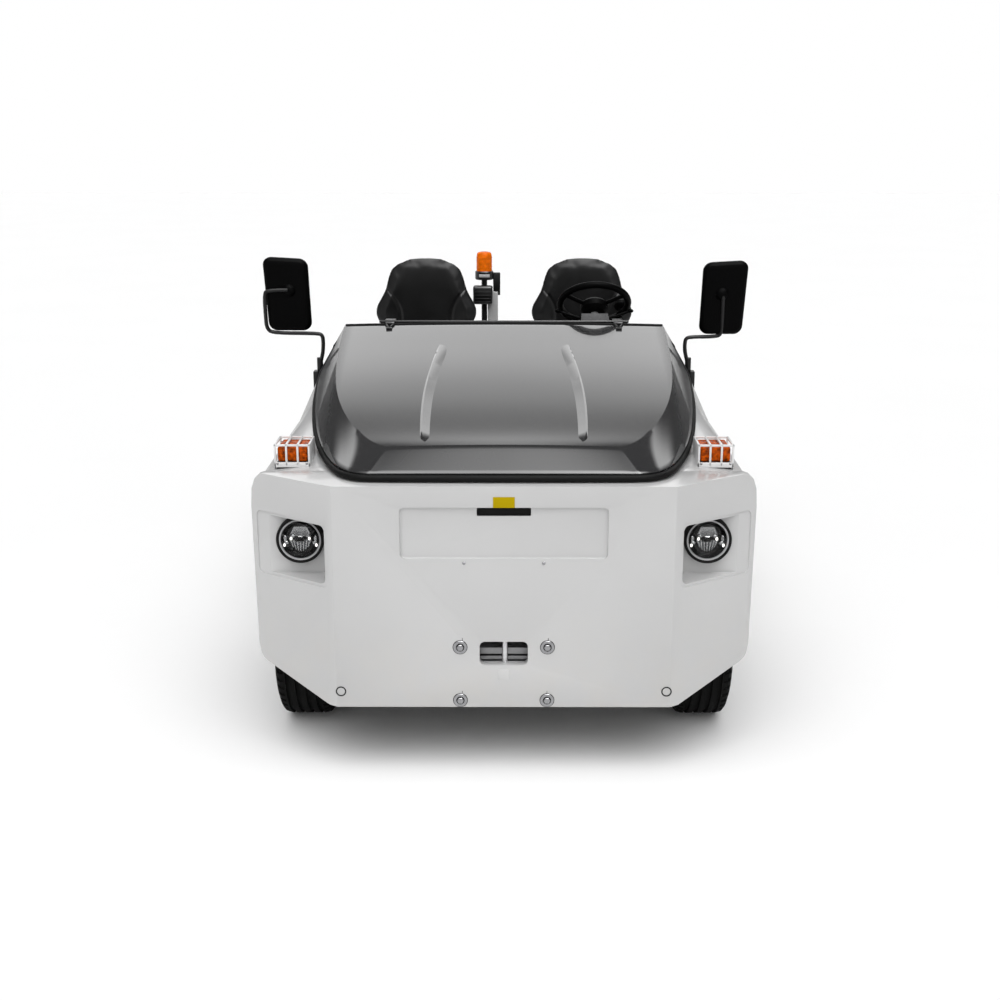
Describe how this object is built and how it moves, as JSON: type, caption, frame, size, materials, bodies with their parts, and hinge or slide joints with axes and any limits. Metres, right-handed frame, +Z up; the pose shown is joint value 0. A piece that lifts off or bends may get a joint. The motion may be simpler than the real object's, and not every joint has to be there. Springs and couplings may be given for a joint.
{
  "type": "airport baggage tug",
  "caption": "Low open-cab electric baggage tractor with a cowled front, opening hood, two seats, steered front wheels, battery deck lid and a rear tow jaw with a lifting pin.",
  "frame": {"origin": "on the floor, under the middle of the vehicle's length and width", "axes": "+Z up, -Y towards the front plate, +X towards the driver's left side"},
  "size_m": [1.939, 3.25, 1.653],
  "materials": {
    "body_white": "satin white enamel",
    "rim_white": "satin light grey enamel",
    "hood_grey": "high gloss dark grey",
    "frame_black": "satin black chassis paint",
    "black_plastic": "grained black",
    "rubber": "matt extruded rubber",
    "tyre": "matt tyre rubber",
    "vinyl": "black seat vinyl",
    "steel": "zinc plated",
    "lamp": "clear lens over bright reflector",
    "amber": "clear amber lens",
    "red_lens": "clear red lens"
  },
  "bodies": {
    "chassis": {"chassis_frame": "frame_black", "front_axle": "frame_black", "rear_axle": "frame_black", "front_bumper": "body_white", "front_coupling": "steel", "hood_seal": "rubber", "hood_hinges": "frame_black", "cowl_panel": "body_white", "dashboard": "black_plastic", "floor_pan": "frame_black", "seat_box": "body_white", "steering_column": "black_plastic", "pedals": "frame_black", "light_mast": "body_white", "beacon": "amber", "work_light": "black_plastic", "rear_panel": "body_white", "battery_block": "black_plastic", "tow_hitch": "steel", "front_fender_left": "body_white", "turn_signal_left": "amber", "lamp_guard_left": "body_white", "headlight_left": "lamp", "seat_cushion_left": "vinyl", "seat_back_left": "vinyl", "mirror_left": "black_plastic", "rear_side_left": "body_white", "tail_light_left": "red_lens", "front_fender_right": "body_white", "turn_signal_right": "amber", "lamp_guard_right": "body_white", "headlight_right": "lamp", "seat_cushion_right": "vinyl", "seat_back_right": "vinyl", "mirror_right": "black_plastic", "rear_side_right": "body_white", "tail_light_right": "red_lens"},
    "hood": {"hood": "hood_grey"},
    "deck_lid": {"deck_lid": "body_white"},
    "steering_wheel": {"steering_wheel": "black_plastic"},
    "tow_pin": {"tow_pin": "steel"},
    "steer_left": {"knuckle_left": "frame_black"},
    "steer_right": {"knuckle_right": "frame_black"},
    "front_wheel_left": {"tyre_front_left": "tyre", "rim_front_left": "rim_white"},
    "rear_wheel_left": {"tyre_rear_left": "tyre", "rim_rear_left": "rim_white"},
    "front_wheel_right": {"tyre_front_right": "tyre", "rim_front_right": "rim_white"},
    "rear_wheel_right": {"tyre_rear_right": "tyre", "rim_rear_right": "rim_white"}
  },
  "joints": [
    {"name": "hood_hinge", "type": "hinge", "parent": "chassis", "child": "hood", "pos_m": [0, -0.465, 1.398], "axis": [-1, 0, 0], "range_deg": [0, 55]},
    {"name": "deck_lid_hinge", "type": "hinge", "parent": "chassis", "child": "deck_lid", "pos_m": [0, 0.716, 0.98], "axis": [1, 0, 0], "range_deg": [0, 70]},
    {"name": "steer_left_turn", "type": "hinge", "parent": "chassis", "child": "steer_left", "pos_m": [0.615, -1.075, 0.305], "axis": [0, 0, 1], "range_deg": [-30, 30]},
    {"name": "steer_right_turn", "type": "hinge", "parent": "chassis", "child": "steer_right", "pos_m": [-0.615, -1.075, 0.305], "axis": [0, 0, 1], "range_deg": [-30, 30]},
    {"name": "steering_wheel_turn", "type": "hinge", "parent": "chassis", "child": "steering_wheel", "pos_m": [0.374, -0.25, 1.448], "axis": [0, 0.6428, 0.766], "range_deg": [-450, 450]},
    {"name": "tow_pin_lift", "type": "slide", "parent": "chassis", "child": "tow_pin", "axis": [0, 0, 1], "range_m": [0, 0.29]},
    {"name": "front_left_spin", "type": "hinge", "parent": "steer_left", "child": "front_wheel_left", "pos_m": [0.73, -1.075, 0.305], "axis": [1, 0, 0], "continuous": true},
    {"name": "rear_left_spin", "type": "hinge", "parent": "chassis", "child": "rear_wheel_left", "pos_m": [0.73, 0.725, 0.305], "axis": [1, 0, 0], "continuous": true},
    {"name": "front_right_spin", "type": "hinge", "parent": "steer_right", "child": "front_wheel_right", "pos_m": [-0.73, -1.075, 0.305], "axis": [1, 0, 0], "continuous": true},
    {"name": "rear_right_spin", "type": "hinge", "parent": "chassis", "child": "rear_wheel_right", "pos_m": [-0.73, 0.725, 0.305], "axis": [1, 0, 0], "continuous": true}
  ],
  "couplings": [
    {"joint": "steer_right_turn", "follows": "steer_left_turn", "ratio": 1},
    {"joint": "steering_wheel_turn", "follows": "steer_left_turn", "ratio": 14}
  ]
}
